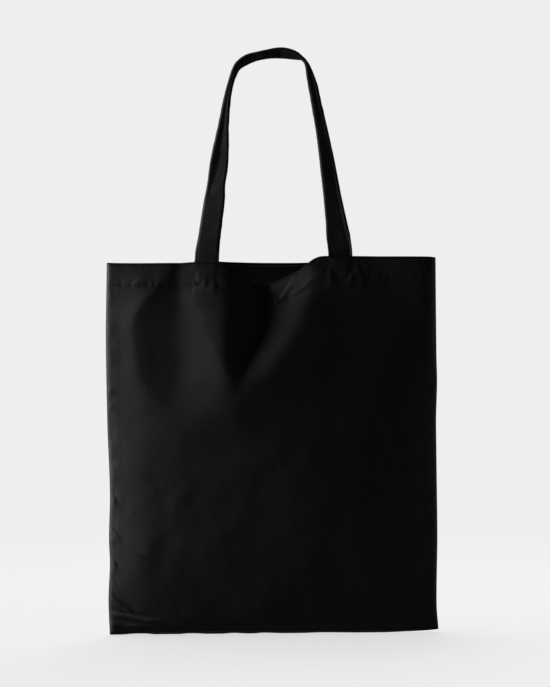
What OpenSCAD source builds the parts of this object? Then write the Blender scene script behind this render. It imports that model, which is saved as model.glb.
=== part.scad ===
// Open-topped cotton tote bag, hanging from its front handle with its back handle down behind it.
// X runs across the bag, Y from the front panel (-Y) to the back panel (+Y), and Z up.
// The origin is the underside of the front handle's crown, where a hand or a hook holds it.

/* [Bag body] */
// Width of the bag from seam to seam
body_w = 380; // [350:1:410]
// Height of the bag from its bottom edge to its top edge
body_h = 428; // [400:1:460]
// Thickness of the canvas
canvas_t = 0.8; // [0.6:0.1:1]
// How far the front panel bellies forward
front_belly = 17; // [12:1:20]
// How far the back panel bellies backward
back_belly = 20; // [18:1:22]
// How far the front top edge dips between the handle legs
mouth_dip = 24; // [0:1:30]
// How far that dip is pushed in towards the back panel
mouth_valley = 9; // [0:0.5:9.5]

/* [Hem and seams] */
// Height of the turned hem round the mouth
hem_h = 27; // [22:1:32]
// Thickness of the turned hem, which is two folded layers
hem_t = 1.2; // [1:0.1:1.2]
// Width of the turned seam allowances inside the bag
seam_w = 12; // [8:1:14]
// Thickness of a folded seam allowance
seam_t = 1.2; // [1:0.1:1.4]
// Thickness of the sewing thread
thread_t = 0.4; // [0.3:0.1:0.5]

/* [Handles] */
// Width of a strap
strap_w = 28; // [24:1:30]
// Thickness of a strap, which is folded canvas
strap_t = 2.4; // [2:0.2:2.4]
// Distance between the middles of a handle's two legs at the mouth
leg_spacing = 155; // [150:1:165]
// Height of the underside of the handle's crown above the top edge
handle_rise = 233; // [225:1:240]
// Length of strap sewn down inside the hem
strap_end_l = 35; // [30:1:38]
// Distance from the edge of a strap to its stitch line
edge_inset = 2.5; // [2:0.5:4]

/* [Hidden] */

FRONT = -1;
BACK = 1;
LEFT = -1;
RIGHT = 1;
gap = 0.15;               // air between two sewn layers
half_w = body_w / 2;
leg_x = leg_spacing / 2;
z_top = -handle_rise;
z_bottom = z_top - body_h;
seam_half = seam_t / 2 + gap + canvas_t / 2;                        // panel to mid plane at a seam
hem_inset = canvas_t / 2 + gap + hem_t / 2;                         // hem behind its panel
strap_inset = canvas_t / 2 + gap + hem_t + gap + strap_t / 2;       // strap end behind its panel
stitch_out = -(canvas_t / 2 + gap + thread_t / 2);                  // thread in front of its panel
dip_x = -11;              // the dip lies a little left of the middle
dip_spread = 36;
fold_lift = 2.5;          // a handle folds about a line this far over the top edge
fold_out = 3.1;           // and this far outside its sewn end
loop_gap = 1.5;           // the moving strap starts this far past that line
overlock_t = 1.8;         // overlock thread stands proud of the seam allowance
panel_cols = 26;
panel_rows = 16;
strap_steps = 3;          // rings between two points of a strap's route

canvas = [0.07, 0.065, 0.07];
turned = [0.11, 0.1, 0.11];
webbing = [0.14, 0.13, 0.14];
thread = [0.25, 0.24, 0.26];

// ---- the hanging shape of the two panels ----

function ease(a, b, v) = let (t = max(0, min(1, (v - a) / (b - a)))) t * t * (3 - 2 * t);
function bump(x, at, spread) = exp(-pow((x - at) / spread, 2));
function across(x) = 1 - pow(min(1, abs(x) / half_w), 3);
function up(z) = (z - z_bottom) / body_h;
function swell(v) = sin(90 * min(1, max(0, v) / 0.4));

// The front panel hangs straight under the handle, so its belly fades out towards the mouth.
function front_depth(x, v) =
    across(x) * (front_belly * swell(v) * (1 - ease(0.55, 1, v)) + mouth_set * ease(0.55, 1, v));
function front_y(x, z) =
    let (v = up(z))
    -seam_half - front_depth(x, v) + mouth_valley * bump(x, dip_x, dip_spread) * ease(0.6, 1, v);
function back_y(x, z) = seam_half + across(x) * back_belly * swell(up(z));
mouth_set = (strap_inset - seam_half) / across(leg_x);              // puts the strap end at y = 0
function face_y(face, x, z) = face == FRONT ? front_y(x, z) : back_y(x, z);
function edge_z(face, x) = z_top - (face == FRONT ? mouth_dip * bump(x, dip_x, dip_spread) : 0);

// ---- building blocks ----

function span(a, b, n) = [for (i = [0:n]) a + (b - a) * i / n];

// A sheet of cloth that follows a panel: xs are its columns, zs(x) gives the heights of its rows,
// and inset is how far inside the panel its middle lies.
module sheet(face, xs, zs, inset, t) {
    rows = len(zs(0));
    cols = len(xs);
    count = rows * cols;
    points = [
        for (s = [-1, 1], x = xs, z = zs(x)) [x, face_y(face, x, z) - face * inset + s * t / 2, z]
    ];
    function at(s, i, j) = s * count + i * rows + j;
    rim = concat(
        [for (i = [0:cols - 1]) [i, 0]],
        [for (j = [1:rows - 1]) [cols - 1, j]],
        [for (i = [cols - 2:-1:0]) [i, rows - 1]],
        [for (j = [rows - 2:-1:1]) [0, j]]
    );
    n = len(rim);
    faces = concat(
        [for (i = [0:cols - 2], j = [0:rows - 2])
            each [[at(0, i, j), at(0, i + 1, j + 1), at(0, i + 1, j)],
                  [at(0, i, j), at(0, i, j + 1), at(0, i + 1, j + 1)]]],
        [for (i = [0:cols - 2], j = [0:rows - 2])
            each [[at(1, i, j), at(1, i + 1, j), at(1, i + 1, j + 1)],
                  [at(1, i, j), at(1, i + 1, j + 1), at(1, i, j + 1)]]],
        [for (k = [0:n - 1]) let (a = rim[k], b = rim[(k + 1) % n])
            each [[at(0, a[0], a[1]), at(0, b[0], b[1]), at(1, b[0], b[1])],
                  [at(0, a[0], a[1]), at(1, b[0], b[1]), at(1, a[0], a[1])]]]
    );
    polyhedron(points, faces);
}

// A bar swept through rings of four corners each.
module sweep(rings) {
    n = len(rings);
    polyhedron(
        [for (ring = rings) each ring],
        concat(
            [[3, 2, 1, 0]],
            [for (i = [0:n - 2], k = [0:3]) let (a = 4 * i + k, b = 4 * i + (k + 1) % 4)
                each [[a, b, b + 4], [a, b + 4, a + 4]]],
            [[for (k = [0:3]) 4 * (n - 1) + k]]
        )
    );
}

// A line of thread laid on a panel along a route of [x, z] points.
module thread_line(face, route) {
    n = len(route);
    sweep([
        for (i = [0:n - 1])
            let (
                d = route[min(i + 1, n - 1)] - route[max(i - 1, 0)],
                side = [-d[1], d[0]] / norm(d) * thread_t,
                p = route[i] + side,
                q = route[i] - side,
                y_p = face_y(face, p[0], p[1]) - face * stitch_out,
                y_q = face_y(face, q[0], q[1]) - face * stitch_out
            )
            [[p[0], y_p - thread_t / 2, p[1]], [p[0], y_p + thread_t / 2, p[1]],
             [q[0], y_q + thread_t / 2, q[1]], [q[0], y_q - thread_t / 2, q[1]]]
    ]);
}

// ---- handles ----
// A strap's route is a list of [x, y, z, turn]. The turn is how far the strap has twisted from
// facing the front, in degrees. A smooth curve runs through the points.

function smooth(a, b, c, d, t) =
    (2 * b + (c - a) * t + (2 * a - 5 * b + 4 * c - d) * t * t + (3 * b - a - 3 * c + d) * t * t * t) / 2;
function route_points(route) =
    let (n = len(route))
    concat(
        [for (i = [0:n - 2], k = [0:strap_steps - 1])
            smooth(route[max(i - 1, 0)], route[i], route[i + 1], route[min(i + 2, n - 1)],
                   k / strap_steps)],
        [route[n - 1]]
    );

function unit(v) = v / norm(v);
function xyz(p) = [p[0], p[1], p[2]];

// Frames along a strap: [middle, direction across it, direction through it].
// Both ends are level, because the strap enters the mouth along its top edge.
function strap_frames(route) =
    let (p = route_points(route), n = len(p))
    [for (i = [0:n - 1])
        let (
            step = xyz(p[min(i + 1, n - 1)]) - xyz(p[max(i - 1, 0)]),
            along = i == 0 || i == n - 1 ? [0, 0, sign(step[2])] : unit(step),
            flat = unit([along[2], 0, -along[0]]),
            wide = flat * cos(p[i][3]) + [0, 1, 0] * sin(p[i][3]),
            thick = unit(cross(along, wide))
        )
        [xyz(p[i]), wide, thick]];

// A bar that follows a strap: w wide and t thick, shifted across and through it.
module along_strap(frames, w, t, shift_w = 0, shift_t = 0) {
    sweep([
        for (f = frames)
            let (c = f[0] + f[1] * shift_w + f[2] * shift_t, a = f[1] * w / 2, b = f[2] * t / 2)
            [c - a - b, c - a + b, c + a + b, c + a - b]
    ]);
}

module strap_threads(frames) {
    for (edge = [-1, 1], side = [-1, 1])
        along_strap(frames, thread_t * 2, thread_t,
                    edge * (strap_w / 2 - edge_inset), side * (strap_t / 2 + gap + thread_t / 2));
}

strap_base_z = z_top + fold_lift + loop_gap;

// The front handle stands up from the mouth, and its crown is held edge up.
crown_z = 6.3;
front_route = [
    [-leg_x, 0, strap_base_z, 0],
    [-leg_x + 6, 0, z_top + 36, -8],
    [-leg_x + 16, 0, z_top + 110, -34],
    [-leg_x + 24, 0, z_top + 180, -62],
    [-45, 0, -18, -76],
    [-36, 0, -3, -70],
    [-14, 0, crown_z - 2, -67],
    [14, 0, crown_z, -68],
    [29, 0, crown_z - 4, -78],
    [38, 0, -6, -84],
    [46, 0, -26, -76],
    [leg_x - 21, 0, z_top + 160, -62],
    [leg_x - 11, 0, z_top + 90, -40],
    [leg_x - 1, 0, z_top + 25, -8],
    [leg_x, 0, strap_base_z, 0]
];

// The back handle hangs down behind the bag in a U.
back_hinge_y = back_y(leg_x, z_top) - strap_inset + fold_out;
back_out = back_hinge_y + fold_out;
hang_half = [
    [-leg_x, back_out, z_top + fold_lift - loop_gap, 0],
    [-leg_x + 0.5, back_out + 1.8, z_top - 15, 2],
    [-leg_x + 2, back_out + 5, z_top - 45, 10],
    [-leg_x + 8, back_out + 9.5, z_top - 110, 30],
    [-leg_x + 20, back_out + 14, z_top - 175, 58],
    [-38, back_out + 16, z_top - 226, 80]
];
back_route = concat(
    hang_half,
    [[0, back_out + 16.5, z_top - 250, 88]],
    [for (i = [len(hang_half) - 1:-1:0]) let (p = hang_half[i]) [-p[0], p[1], p[2], p[3]]]
);

module front_strap() {
    color(webbing) along_strap(strap_frames(front_route), strap_w, strap_t);
}

module front_strap_stitching() {
    color(thread) strap_threads(strap_frames(front_route));
}

module back_strap() {
    color(webbing) along_strap(strap_frames(back_route), strap_w, strap_t);
}

module back_strap_stitching() {
    color(thread) strap_threads(strap_frames(back_route));
}

// ---- panels, hems and strap ends ----

// The layers of a panel share its columns, so that they lie evenly on one another.
function columns(reach) =
    [for (s = span(-90, 90, panel_cols)) let (x = half_w * sin(s)) if (abs(x) <= reach) x];

module panel(face) {
    rows = function(x) let (edge = edge_z(face, x))
        concat(span(z_bottom, edge - hem_h, panel_rows - 1), [edge]);
    color(canvas) sheet(face, columns(half_w), rows, 0, canvas_t);
}

module front_panel() panel(FRONT);
module back_panel() panel(BACK);

module hem(face) {
    rows = function(x) [edge_z(face, x) - hem_h, edge_z(face, x)];
    color(turned) sheet(face, columns(half_w - seam_w - 3), rows, hem_inset, hem_t);
}

module front_hem() hem(FRONT);
module back_hem() hem(BACK);

module strap_end(face, side) {
    x = side * leg_x;
    zs = concat(span(z_top - strap_end_l, z_top, 3), [z_top + fold_lift - 0.5]);
    color(webbing)
        sheet(face, span(x - strap_w / 2, x + strap_w / 2, 3), function(x) zs, strap_inset, strap_t);
}

module front_left_strap_end() strap_end(FRONT, LEFT);
module front_right_strap_end() strap_end(FRONT, RIGHT);
module back_left_strap_end() strap_end(BACK, LEFT);
module back_right_strap_end() strap_end(BACK, RIGHT);

// ---- seams ----

module side_seam(side) {
    color(turned)
        translate([side * (half_w - seam_w / 2), 0, (z_top + z_bottom) / 2])
            cube([seam_w, seam_t, body_h], center = true);
}

module left_side_seam() side_seam(LEFT);
module right_side_seam() side_seam(RIGHT);

bottom_reach = half_w - seam_w - 1;

module bottom_seam() {
    color(turned)
        translate([0, 0, z_bottom + seam_w / 2])
            cube([2 * bottom_reach, seam_t, seam_w], center = true);
}

module side_overlock(side) {
    x = side * (half_w - seam_w - overlock_t / 2);
    z_low = z_bottom + seam_w + overlock_t + 1;
    z_high = z_top - hem_h - 2;
    color(thread)
        translate([x, 0, (z_low + z_high) / 2])
            cube([overlock_t, seam_t, z_high - z_low], center = true);
}

module left_seam_overlock() side_overlock(LEFT);
module right_seam_overlock() side_overlock(RIGHT);

module bottom_seam_overlock() {
    color(thread)
        translate([0, 0, z_bottom + seam_w + overlock_t / 2])
            cube([2 * bottom_reach, seam_t, overlock_t], center = true);
}

// ---- stitching ----

top_row = 4;              // the upper row of hem stitching lies this far under the edge
lower_row = hem_h;

module hem_stitching(face) {
    color(thread)
        for (drop = [top_row, lower_row])
            thread_line(face, [for (x = columns(half_w - seam_w)) [x, edge_z(face, x) - drop]]);
}

module front_hem_stitching() hem_stitching(FRONT);
module back_hem_stitching() hem_stitching(BACK);

// A square with a cross in it holds each strap end down.
box_w = strap_w - 2 * edge_inset;
box_top = 8;
box_bottom = 24;

module box_stitch(face, side) {
    l = side * leg_x - box_w / 2;
    r = side * leg_x + box_w / 2;
    t = z_top - box_top;
    b = z_top - box_bottom;
    inner = 1.5;
    color(thread) {
        thread_line(face, [[l, t], [r, t]]);
        thread_line(face, [[l, b], [r, b]]);
        thread_line(face, [[l, t - inner], [l, b + inner]]);
        thread_line(face, [[r, t - inner], [r, b + inner]]);
        thread_line(face, [[l + inner, t - inner], [r - inner, b + inner]]);
        for (half = [[[l + inner, b + inner], [-1, -1]], [[r - inner, t - inner], [1, 1]]])
            thread_line(face, [half[0], [side * leg_x + half[1][0] * inner,
                                         (t + b) / 2 + half[1][1] * inner]]);
    }
}

module front_left_box_stitch() box_stitch(FRONT, LEFT);
module front_right_box_stitch() box_stitch(FRONT, RIGHT);
module back_left_box_stitch() box_stitch(BACK, LEFT);
module back_right_box_stitch() box_stitch(BACK, RIGHT);

front_strap();
front_strap_stitching();
front_panel();
back_panel();
front_hem();
back_hem();
left_side_seam();
right_side_seam();
bottom_seam();
front_left_strap_end();
front_right_strap_end();
back_left_strap_end();
back_right_strap_end();
front_left_box_stitch();
front_right_box_stitch();
back_left_box_stitch();
back_right_box_stitch();
front_hem_stitching();
back_hem_stitching();
left_seam_overlock();
right_seam_overlock();
bottom_seam_overlock();
back_strap();
back_strap_stitching();
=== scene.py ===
"""A black cotton tote bag hanging from its front handle, with its back handle down behind it."""

import math

import bpy
import numpy as np
from mathutils import Matrix, Vector


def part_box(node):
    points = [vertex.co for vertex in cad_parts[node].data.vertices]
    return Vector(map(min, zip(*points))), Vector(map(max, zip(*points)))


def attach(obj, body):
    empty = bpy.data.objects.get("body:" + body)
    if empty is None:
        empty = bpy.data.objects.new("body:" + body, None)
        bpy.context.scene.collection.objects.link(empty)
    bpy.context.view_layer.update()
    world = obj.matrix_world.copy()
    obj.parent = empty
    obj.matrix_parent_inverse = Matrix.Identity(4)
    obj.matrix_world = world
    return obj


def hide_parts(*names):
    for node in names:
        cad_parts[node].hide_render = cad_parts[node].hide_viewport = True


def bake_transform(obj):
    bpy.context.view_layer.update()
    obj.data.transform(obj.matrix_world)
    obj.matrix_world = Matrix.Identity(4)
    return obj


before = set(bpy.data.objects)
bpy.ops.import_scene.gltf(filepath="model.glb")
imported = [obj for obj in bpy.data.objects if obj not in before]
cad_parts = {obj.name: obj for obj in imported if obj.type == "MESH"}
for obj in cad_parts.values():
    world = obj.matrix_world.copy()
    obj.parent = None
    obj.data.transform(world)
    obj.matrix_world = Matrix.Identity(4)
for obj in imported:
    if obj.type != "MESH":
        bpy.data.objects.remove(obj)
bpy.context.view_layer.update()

# Lengths are in millimetres up to the moment a mesh is made.
MM = 0.001


# ---- sizes and places, all from the frame ----

def box_mm(node):
    """The lowest and highest corner of a node's box, in millimetres."""
    low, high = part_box(node)
    return np.array(low) / MM, np.array(high) / MM


panel_low, panel_high = box_mm("back_panel")
HALF_W = panel_high[0]
Z_TOP = panel_high[2]
Z_BOTTOM = panel_low[2]
BODY_H = Z_TOP - Z_BOTTOM
hem_low, hem_high = box_mm("back_hem")
HEM_H = hem_high[2] - hem_low[2]
end_low, end_high = box_mm("back_right_strap_end")
STRAP_W = end_high[0] - end_low[0]
LEG_X = (end_high[0] + end_low[0]) / 2
LEG_SHIFT = 2.4           # the hung bag has slipped a little to the left under its handle
STRAP_END_LOW = end_low[2]
BACK_END_Y = (end_low[1] + end_high[1]) / 2
seam_low, seam_high = box_mm("left_side_seam")
SEAM_W = seam_high[0] - seam_low[0]
hang_low, hang_high = box_mm("back_strap")
HANG_LOW = hang_low[2]
HANG_FAR = hang_high[1]
HANG_NEAR = hang_low[1]

CLOTH_T = 0.7             # thickness of the canvas
FOLD_R = 0.9              # radius of the turned top edge
HEM_INSET = 2 * FOLD_R    # the hem lies this far inside the panel
ALLOWANCE_T = 1.2         # thickness of a pressed seam allowance
STRAP_T = 1.9             # thickness of a strap
STRAP_SPLIT = 1.0         # a strap is cut in two, for the model's hinge, this far below the top corners
EDGE_INSET = 2.6          # stitch lines of a strap, from its edges
STITCH_PITCH = 3.2
STITCH_L = 2.5
STITCH_R = 0.2
OVERLOCK_PITCH = 2.4
OVERLOCK_REACH = 3.2      # how far an overlock stitch reaches in from the cut edge
OVERLOCK_OUT = 0.85       # and how far out it lies from the allowance's middle
OVERLOCK_R = 0.3
UPPER_ROW = 4.0           # rows of hem stitching, below the top edge
LOWER_ROW = HEM_H - 1.0
BOX_MIDDLE = 16           # middle of a strap end's box of stitches, below the top edge
BOX_HALF_H = 8.5
PANEL_STEP = 1.5          # spacing of the points on a panel, a hem and a strap
HEM_STEP = 2.2
STRAP_STEP = 1.5
SIDES = ((-1, "left"), (1, "right"))


# ---- curves and noise ----

def cubic(t, step, low, high, low_slope, high_slope):
    """A curve from low to high over one step, with those slopes at its ends, at a fraction t of it."""
    return (
        low * (1 + 2 * t) * (1 - t) ** 2
        + high * t * t * (3 - 2 * t)
        + step * (low_slope * t * (1 - t) ** 2 + high_slope * t * t * (t - 1))
    )


def through(*points):
    """A smooth function through (position, value) points, which never overshoots them."""
    xs, ys = np.array(points, float).T
    step = np.diff(xs)
    rise = np.diff(ys) / step
    same = rise[:-1] * rise[1:] > 0
    total = np.where(same, rise[:-1] + rise[1:], 1)
    inner = np.where(same, 2 * rise[:-1] * rise[1:] / total, 0)
    slope = np.concatenate([rise[:1], inner, rise[-1:]])

    def at(x):
        x = np.clip(x, xs[0], xs[-1])
        i = np.clip(np.searchsorted(xs, x, side="right") - 1, 0, len(step) - 1)
        t = (x - xs[i]) / step[i]
        return cubic(t, step[i], ys[i], ys[i + 1], slope[i], slope[i + 1])

    return at


def ease(a, b, x):
    """Rises smoothly from 0 at a to 1 at b."""
    t = np.clip((x - a) / (b - a), 0, 1)
    return t * t * (3 - 2 * t)


def bump(x, at, spread):
    """A rounded hump, 1 high, around that place."""
    return np.exp(-(((x - at) / spread) ** 2))


def unit(vectors):
    """The same directions with length 1."""
    return vectors / np.linalg.norm(vectors, axis=-1, keepdims=True)


def noise(seed, x, z, size_x, size_z):
    """Smooth noise from about -1 to 1, with features of that size."""
    cells = np.random.RandomState(seed).uniform(-1, 1, (64, 64))
    i = x / size_x + 32.37
    j = z / size_z + 32.61
    i0 = np.floor(i).astype(int)
    j0 = np.floor(j).astype(int)
    s = ease(0, 1, i - i0)
    t = ease(0, 1, j - j0)

    def cell(a, b):
        return cells[a % 64, b % 64]

    low = cell(i0, j0) * (1 - s) + cell(i0 + 1, j0) * s
    high = cell(i0, j0 + 1) * (1 - s) + cell(i0 + 1, j0 + 1) * s
    return low * (1 - t) + high * t


def crease(x, d, start, end, width, height):
    """A pressed line from start to end, each (x, depth), sharp in the middle and gone at its ends."""
    ax, ad = start
    along = np.array(end, float) - start
    length = np.hypot(*along)
    ux, ud = along / length
    s = ((x - ax) * ux + (d - ad) * ud) / length
    off = (x - ax) * ud - (d - ad) * ux
    inside = ease(-0.1, 0.25, s) * (1 - ease(0.75, 1.1, s))
    ridge = np.exp(-np.abs(off) / width) - 0.6 * np.exp(-np.abs(off - 2.2 * width) / (1.6 * width))
    return height * inside * ridge


# ---- the hanging shape of the panels ----
# x runs across the bag, from the left as the front is seen. d is the depth below the top corners, and e the
# distance below a panel's own top edge. "out" is how far a panel stands off the bag's middle plane.

def fold_profile(lines, x, d):
    """A surface that runs straight from each fold line to the next, with every fold rounded. A line is three
    functions of depth: where it lies across the bag, how far it stands out, and how wide its bend is."""
    across = [line[0](d) for line in lines]
    height = [line[1](d) for line in lines]
    slopes = [(height[i + 1] - height[i]) / (across[i + 1] - across[i]) for i in range(len(lines) - 1)]
    out = height[0] + slopes[0] * (x - across[0])
    for i in range(1, len(slopes)):
        past = x - across[i]
        out = out + (slopes[i] - slopes[i - 1]) * 0.5 * (past + np.sqrt(past**2 + lines[i][2](d) ** 2))
    return out


def steady(value):
    """The same value at every depth."""
    return lambda d: np.full_like(d, float(value))


# A panel's folds are drawn down to FOLD_DEPTH, and let go into the round of its belly between two depths.
FOLD_DEPTH = 200

# The front hangs in folds between its two straps.
FRONT_LET_GO = (172, 245)
FRONT_FOLDS = [
    # left side seam
    (steady(-HALF_W), steady(0), steady(1)),
    # where the cloth has rounded the seam
    (steady(-179),
     through((0, 1.2), (14, 1.8), (30, 2.1), (80, 2.5), (140, 2.7), (200, 3.1)), steady(7)),
    # ridge left of the left strap
    (through((0, -114), (14, -120), (30, -132), (46, -146), (66, -157), (80, -158), (104, -155), (126, -152),
             (144, -146), (160, -138), (178, -124), (200, -116)),
     through((0, 4.6), (14, 6.6), (30, 7.8), (50, 8.2), (80, 7.4), (110, 7.9), (140, 9.4), (170, 13),
             (200, 16)),
     through((0, 7), (50, 4), (110, 4.5), (140, 7), (170, 18), (200, 30))),
    # valley that hangs from the left edge of the left strap
    (steady(-106),
     through((0, 3.2), (14, 4.2), (30, 5.4), (50, 6.6), (80, 6.6), (110, 6.7), (140, 9), (170, 13.4),
             (200, 17)),
     through((0, 4), (40, 6), (80, 12), (140, 14), (200, 30))),
    # ridge that hangs from the middle of the left strap, and turns in under it
    (through((0, -90), (30, -88), (44, -87), (55, -80), (78, -72), (96, -66), (113, -60), (136, -51),
             (150, -46), (200, -42)),
     through((0, 5.6), (14, 8), (30, 11), (50, 13.7), (80, 17.1), (110, 20.3), (140, 22.4), (170, 22.8),
             (200, 21)),
     through((0, 5), (50, 4), (120, 4), (160, 14), (200, 26))),
    # the same ridge's right flank, where the valley between the straps begins
    (through((0, -48), (40, -49), (80, -52), (110, -52), (126, -48), (140, -43), (150, -40), (200, -36)),
     through((0, 7), (14, 10.8), (30, 15.4), (50, 18.6), (80, 20.5), (110, 21.4), (140, 22), (170, 22),
             (200, 21)),
     through((0, 8), (40, 14), (80, 9), (130, 5), (160, 14), (200, 26))),
    # deep valley between the straps, pulled over to the left as it closes
    (through((0, -8), (28, -3), (62, -4), (80, -12), (98, -21), (112, -26), (124, -30), (136, -35),
             (147, -37), (200, -32)),
     through((0, -17), (14, -13), (30, -6.5), (50, 0), (80, 4.8), (110, 11.6), (126, 17), (140, 20.6),
             (170, 22), (200, 21)),
     through((0, 6), (28, 3), (60, 3.5), (110, 5), (147, 5), (170, 20), (200, 26))),
    # ridge that comes down from the right strap to the foot of that valley
    (through((0, 42), (18, 50), (35, 46), (58, 36), (76, 28), (93, 18), (107, 8.5), (124, -3), (137, -13),
             (147, -23), (200, -26)),
     through((0, 3), (18, 4.4), (30, 7.6), (50, 12.4), (80, 16.6), (110, 20.6), (140, 22.6), (170, 22),
             (200, 21)),
     through((0, 3), (35, 5), (80, 9), (120, 9), (147, 8), (170, 20), (200, 26))),
    # the right half hangs in one easy curve
    (steady(95),
     through((0, 3), (30, 4.6), (50, 6), (80, 8.6), (110, 11.5), (140, 14), (170, 16), (200, 17.2)),
     steady(34)),
    # shallow valley that runs from the top edge out to the right side
    (through((0, 122), (30, 138), (60, 158), (100, 160), (200, 152)),
     through((0, 1), (30, 2), (50, 3), (80, 4.8), (110, 7), (140, 9.3), (170, 11), (200, 12.1)),
     through((0, 8), (60, 10), (120, 26))),
    # where the cloth rounds the right seam
    (steady(179),
     through((0, 4), (30, 5), (60, 5.2), (90, 4.6), (140, 4.2), (200, 5.2)), steady(8)),
    # right side seam
    (steady(HALF_W), steady(0), steady(1)),
]

# The back, which isn't pulled so far off shape, hangs in even folds that let go higher up.
BACK_LET_GO = (140, 240)
BACK_FOLDS = [
    # left side seam, and where the cloth rounds it
    (steady(-HALF_W), steady(0), steady(1)),
    (steady(-176), through((0, 9), (200, 8.5)), steady(12)),
    # ridge, the left strap's fold, shallow valley between the straps, the right strap's fold, ridge
    (through((0, -116), (200, -140)), through((0, 15.5), (60, 13.5), (200, 14.5)),
     through((0, 6), (200, 26))),
    (through((0, -64), (200, -70)), through((0, 13.5), (60, 18.2), (200, 19)), through((0, 8), (200, 24))),
    (through((0, 4), (200, -8)), through((0, 18), (60, 14.5), (130, 15), (200, 17.4)),
     through((0, 8), (200, 30))),
    (through((0, 66), (200, 74)), through((0, 20), (60, 18.8), (200, 19)), through((0, 8), (200, 24))),
    (through((0, 122), (200, 142)), through((0, 15), (60, 13), (200, 14.3)), through((0, 6), (200, 26))),
    # where the cloth rounds the right side seam, and the seam
    (steady(176), through((0, 9), (200, 8.5)), steady(12)),
    (steady(HALF_W), steady(0), steady(1)),
]

# Creases as start, end, width and height. Starts and ends are x and depth, and a height below 0 is a furrow.
FRONT_CREASES = [
    # at the lower left corner
    ((-190, 384), (-160, 404), 2.2, 2.0),
    ((-188, 404), (-126, 415), 2.0, 2.2),
    ((-188, 413), (-150, 421), 1.8, 1.4),
    # up the left side seam
    ((-190, 316), (-150, 338), 2.2, 0.9),
    ((-191, 262), (-183, 277), 1.5, 1.0),
    ((-191, 302), (-176, 320), 1.6, 0.8),
    ((-191, 336), (-181, 352), 1.5, 1.0),
    ((-191, 360), (-181, 373), 1.5, 0.8),
    # under the mouth and beside the right strap
    ((23, 20), (6, 44), 2.0, -0.7),
    ((98, 2), (106, 28), 1.6, 0.7),
]
BACK_CREASES = [
    ((186, 380), (140, 404), 2.4, 1.6),
    ((-188, 400), (-120, 416), 2.2, 1.6),
    ((-150, 250), (-96, 300), 3.0, 1.0),
]

# How much of the belly's round each panel has at each depth.
front_swell = through((140, 0.88), (200, 0.97), (260, 1), (320, 0.95), (370, 0.82), (400, 0.6), (420, 0.26),
                      (BODY_H, 0.03))
back_swell = through((0, 0.9), (80, 0.96), (200, 1), (300, 0.93), (370, 0.7), (400, 0.45), (420, 0.15),
                     (BODY_H, 0.03))


def belly(x):
    """The round of a panel across the bag: an easy curve, with tighter ones into the side seams."""
    u = np.clip(np.abs(x / HALF_W), 0, 1)
    return 15.9 * (1 - u**2.1) + 4.2 * (1 - u**10)


# How far the hung cloth has crept out of its cut outline: up along the top edges and the foot, and to the
# right along the two sides.
front_lift = through((-190, 0), (-175, -0.8), (-150, -1.1), (-60, -1.4), (-50, -4), (-36, -11.8), (-25, -21),
                     (-17, -26.6), (-11, -28.6), (-2, -26), (10, -21.4), (21.5, -15.8), (33, -10), (39, -5.6),
                     (43.5, -2.1), (50, 2.4), (58, 5.1), (66, 5.4), (98, 5), (125, 4.5), (181, 3.8), (190, 3))
back_lift = through((-190, 0), (-110, -0.2), (-95, 0.6), (-72, 1.6), (-46, 0.4), (-13, -0.6), (28, -1),
                    (60, 0), (190, 3))
foot_lift = through((-190, -0.8), (-176, -0.2), (-155, 0.9), (-124, -1.2), (-95, 0.5), (-66, -0.7),
                    (-47, 0.5), (-26, -0.4), (-12, 0.5), (20, -0.7), (55, 0.3), (115, -0.5), (140, 0.1),
                    (155, 0.8), (177, 2), (190, 3))
left_creep = through((0, 0.9), (95, -1), (180, -0.2), (268, 2.2), (320, 0.7), (345, 1.5), (390, -0.5),
                     (428, 0.6))
right_creep = through((0, 0.1), (110, 0.2), (135, 0.7), (190, -0.9), (310, -0.5), (395, -2.1), (428, 0))
CREEP_X = 80              # closer to the middle than this nothing creeps sideways
FOOT_DROP = 0.7           # the whole foot hangs this far lower still


def creep(x, z):
    """Sideways creep at that place."""
    d = Z_TOP - z
    return left_creep(d) * (1 - ease(-HALF_W, -CREEP_X, x)) + right_creep(d) * ease(CREEP_X, HALF_W, x)


SEAM_ROLL = 2.4           # how far the cloth rolls out beside a seam, and swells out further off
SEAM_SWELL = 1.4


def turned_in(gap, reach):
    """Rises from 0 at a seam to 1 at that reach from it, as a quarter of a circle."""
    return np.sqrt(1 - (1 - np.clip(gap / reach, 0, 1)) ** 2)


def closed_seams(out, x, d):
    """Brings a panel in to meet the other one at the side seams and along the bottom."""
    side_gap = HALF_W - np.abs(x)
    low_gap = BODY_H - d
    roll = SEAM_ROLL * turned_in(side_gap, 3.6) * turned_in(low_gap, 3)
    swell = SEAM_SWELL * ease(0, 50, side_gap) * ease(0, 20, low_gap)
    return out * ease(0, 3, side_gap) * ease(0, 3, low_gap) + roll + swell


def side_pucker(x, z):
    """The cloth is puckered along the side seams, and the seam allowance inside shows as a low ridge."""
    gap = HALF_W - np.abs(x)
    pucker = noise(31, z, x, 9, 40) + 0.7 * noise(32, z, x, 21, 60)
    pull = 0.55 * pucker * bump(gap, 4, 5) * ease(0, 2.5, gap)
    return pull + 0.15 * bump(gap, 5.5, 3) + 0.25 * (1 - ease(SEAM_W - 3, SEAM_W + 6, gap))


def bottom_pucker(x, d):
    """The same along the bottom."""
    gap = BODY_H - d
    pull = 0.35 * noise(35, x, d, 11, 30) * bump(gap, 8, 7) * ease(0, 2, gap)
    return pull + 0.7 * bump(gap, 9.5, 1.8) - 0.5 * bump(gap, 6, 1.5)


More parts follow.
